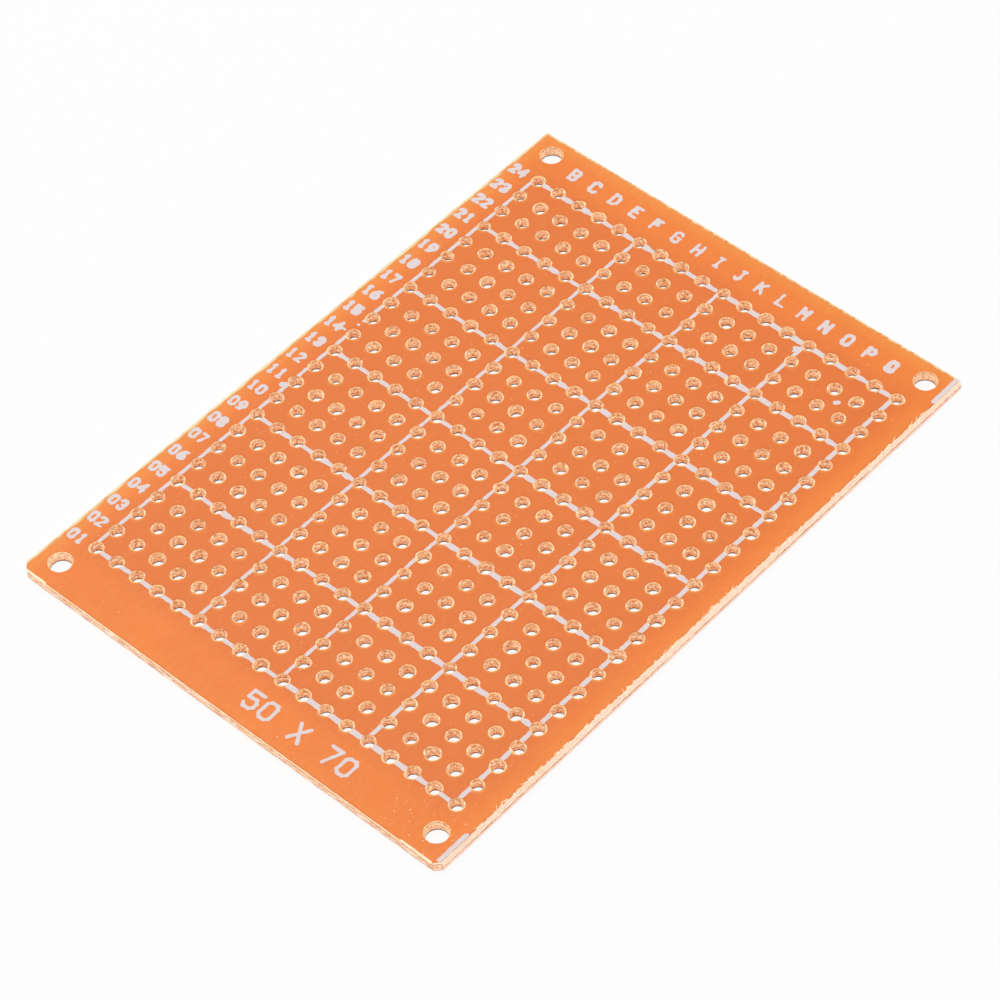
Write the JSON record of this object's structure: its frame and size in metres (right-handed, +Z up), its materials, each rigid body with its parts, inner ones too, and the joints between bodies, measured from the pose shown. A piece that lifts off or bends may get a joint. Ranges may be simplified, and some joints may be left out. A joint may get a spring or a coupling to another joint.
{
  "type": "prototype board",
  "caption": "Flat rectangular prototype board: a punched orange laminate panel, printed with a white grid on top and with a copper ring round each hole underneath.",
  "frame": {"origin": "under the middle of the panel, at the level of the copper rings that it rests on", "axes": "+X across the short side from the first column to the last, +Y along the long side from the first row to the last, +Z up out of the printed component side"},
  "size_m": [0.0502, 0.0696, 0.0012],
  "materials": {
    "laminate": "orange paper-phenolic laminate, satin, slightly see-through at its rims",
    "copper": "bare copper foil under a thin clear rosin coat",
    "white_ink": "matt white screen-printed ink"
  },
  "bodies": {
    "root": {"board": "laminate", "printed_grid": "white_ink", "corner_marks": "white_ink", "pads_row_01": "copper", "pads_row_02": "copper", "pads_row_03": "copper", "pads_row_04": "copper", "pads_row_05": "copper", "pads_row_06": "copper", "pads_row_07": "copper", "pads_row_08": "copper", "pads_row_09": "copper", "pads_row_10": "copper", "pads_row_11": "copper", "pads_row_12": "copper", "pads_row_13": "copper", "pads_row_14": "copper", "pads_row_15": "copper", "pads_row_16": "copper", "pads_row_17": "copper", "pads_row_18": "copper", "pads_row_19": "copper", "pads_row_20": "copper", "pads_row_21": "copper", "pads_row_22": "copper", "pads_row_23": "copper", "pads_row_24": "copper"}
  },
  "joints": []
}
